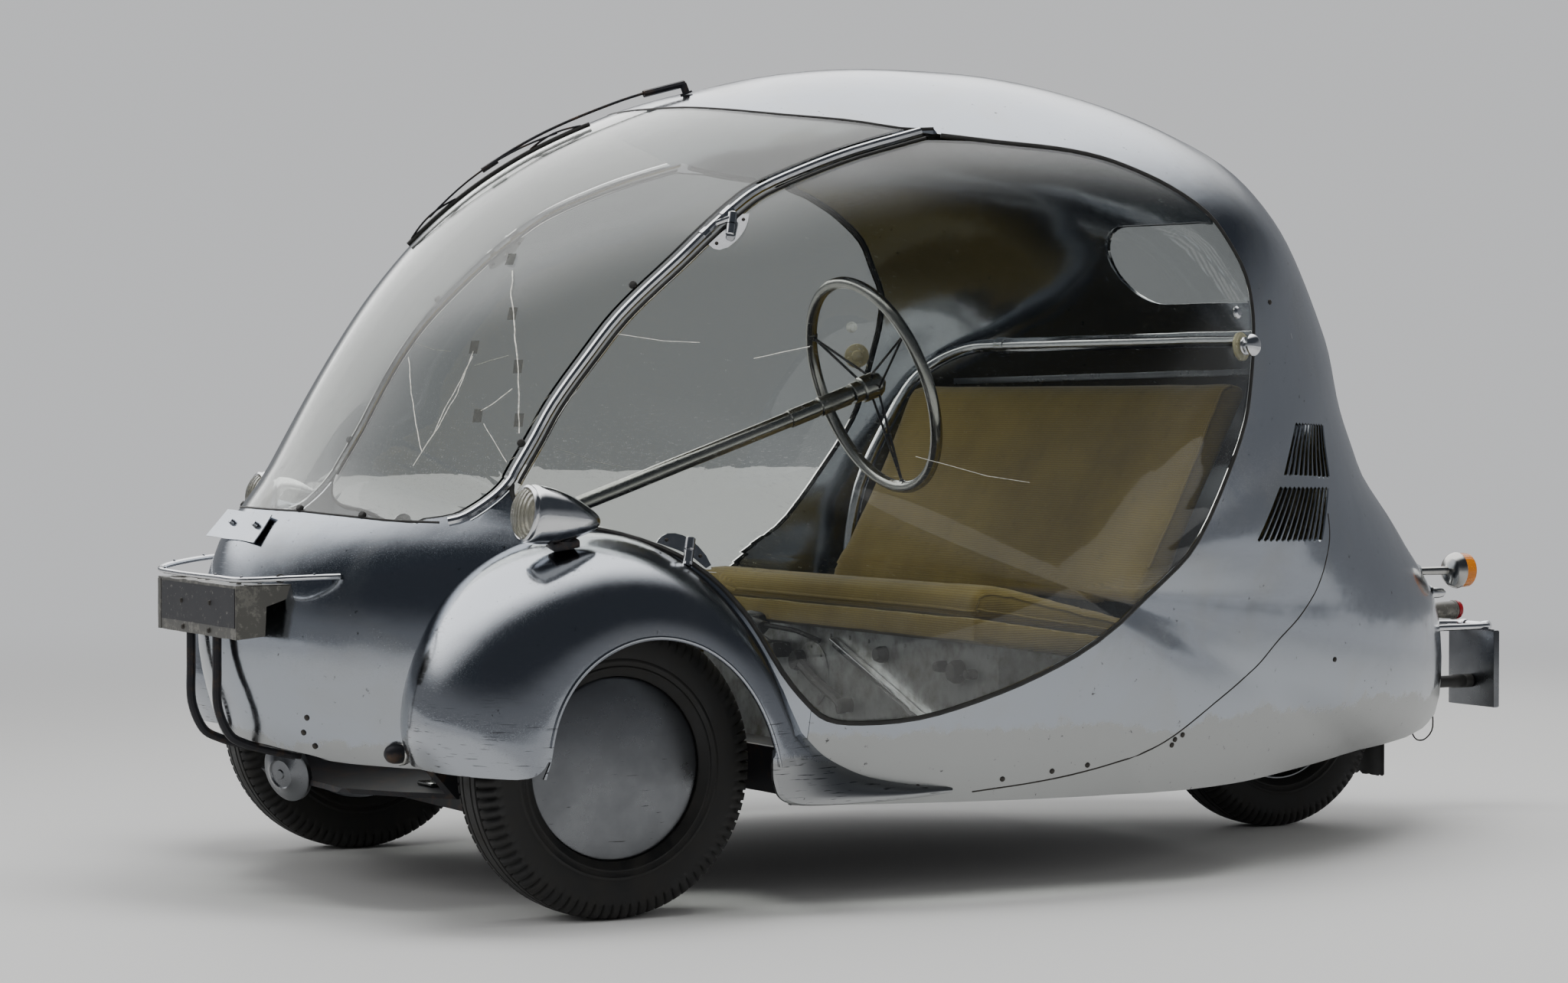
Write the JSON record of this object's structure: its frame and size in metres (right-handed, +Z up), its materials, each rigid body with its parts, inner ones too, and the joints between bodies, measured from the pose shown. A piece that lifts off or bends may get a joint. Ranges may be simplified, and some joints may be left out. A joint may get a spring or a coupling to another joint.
{
  "type": "three wheeled car",
  "caption": "Small egg shaped car on three wheels, with a hammered metal body, clear doors and screen, steered front wheels and a driven rear wheel.",
  "frame": {"origin": "on the ground under the middle of the bounding box", "axes": "+Z up, the front faces -Y, the driver's side is +X"},
  "size_m": [1.31, 2.3607, 1.238],
  "materials": {
    "hammered_aluminium": "polished, hand hammered",
    "dull_aluminium": "satin",
    "chrome": "polished",
    "acrylic": "clear, scratched",
    "lamp_glass": "ribbed",
    "dark_steel": "satin",
    "tyre_rubber": "matt",
    "black_rubber": "matt",
    "seat_cloth": "woven",
    "amber_lens": "gloss",
    "red_lens": "gloss"
  },
  "bodies": {
    "body": {"body_shell": "hammered_aluminium", "rear_window": "acrylic", "windscreen": "acrylic", "cowl": "hammered_aluminium", "pillar_left": "chrome", "pillar_right": "chrome", "fender_left": "hammered_aluminium", "fender_right": "hammered_aluminium", "headlight_left": "chrome", "headlight_right": "chrome", "headlight_lens_left": "lamp_glass", "headlight_lens_right": "lamp_glass", "floor": "dull_aluminium", "front_axle": "dark_steel", "rear_fork": "dark_steel", "motor": "dark_steel", "battery": "dark_steel", "seat_base": "dull_aluminium", "seat_cushion": "seat_cloth", "seat_back": "seat_cloth", "seat_frame": "chrome", "steering_column": "chrome", "front_plate_box": "dark_steel", "front_rail": "chrome", "guard_tube_left": "dark_steel", "guard_tube_right": "dark_steel", "horn": "dark_steel", "rear_plate_box": "dark_steel", "rear_rail": "chrome", "rear_spacer": "black_rubber", "bracket_top_left": "chrome", "bracket_top_right": "chrome", "bracket_foot_left": "chrome", "bracket_foot_right": "chrome", "wiper": "dark_steel", "indicator_left": "amber_lens", "indicator_right": "amber_lens", "tail_lamp": "red_lens", "mud_flap": "black_rubber"},
    "door_left": {"door_left": "acrylic", "hinge_top_left": "chrome", "hinge_foot_left": "chrome", "door_knob_left": "chrome"},
    "door_right": {"door_right": "acrylic", "hinge_top_right": "chrome", "hinge_foot_right": "chrome", "door_knob_right": "chrome"},
    "knuckle_left": {"knuckle_left": "dark_steel"},
    "knuckle_right": {"knuckle_right": "dark_steel"},
    "front_wheel_left": {"tyre_front_left": "tyre_rubber", "wheel_front_left": "dull_aluminium"},
    "front_wheel_right": {"tyre_front_right": "tyre_rubber", "wheel_front_right": "dull_aluminium"},
    "rear_wheel": {"tyre_rear": "tyre_rubber", "wheel_rear": "dull_aluminium"},
    "steering_wheel": {"steering_wheel": "chrome"}
  },
  "joints": [
    {"name": "door_left_hinge", "type": "hinge", "parent": "body", "child": "door_left", "pos_m": [0.45614, -0.5763, 0.7415], "axis": [-0.2458, 0.265, 0.9324], "range_deg": [-45, 0]},
    {"name": "door_right_hinge", "type": "hinge", "parent": "body", "child": "door_right", "pos_m": [-0.45614, -0.5763, 0.7415], "axis": [0.2458, 0.265, 0.9324], "range_deg": [0, 45]},
    {"name": "knuckle_left_steer", "type": "hinge", "parent": "body", "child": "knuckle_left", "pos_m": [0.378, -0.7468, 0.21], "axis": [0, 0, 1], "range_deg": [-18, 18]},
    {"name": "knuckle_right_steer", "type": "hinge", "parent": "body", "child": "knuckle_right", "pos_m": [-0.378, -0.7468, 0.21], "axis": [0, 0, 1], "range_deg": [-18, 18]},
    {"name": "steering_wheel_turn", "type": "hinge", "parent": "body", "child": "steering_wheel", "pos_m": [0.2, -0.2018, 0.7285], "axis": [0, 0.9426, 0.3338], "range_deg": [-162, 162]},
    {"name": "front_wheel_left_spin", "type": "hinge", "parent": "knuckle_left", "child": "front_wheel_left", "pos_m": [0.464, -0.7468, 0.21], "axis": [1, 0, 0], "continuous": true},
    {"name": "front_wheel_right_spin", "type": "hinge", "parent": "knuckle_right", "child": "front_wheel_right", "pos_m": [-0.464, -0.7468, 0.21], "axis": [1, 0, 0], "continuous": true},
    {"name": "rear_wheel_spin", "type": "hinge", "parent": "body", "child": "rear_wheel", "pos_m": [0, 0.7252, 0.2], "axis": [1, 0, 0], "continuous": true}
  ],
  "couplings": [
    {"joint": "knuckle_right_steer", "follows": "knuckle_left_steer", "ratio": 1},
    {"joint": "steering_wheel_turn", "follows": "knuckle_left_steer", "ratio": -9}
  ]
}
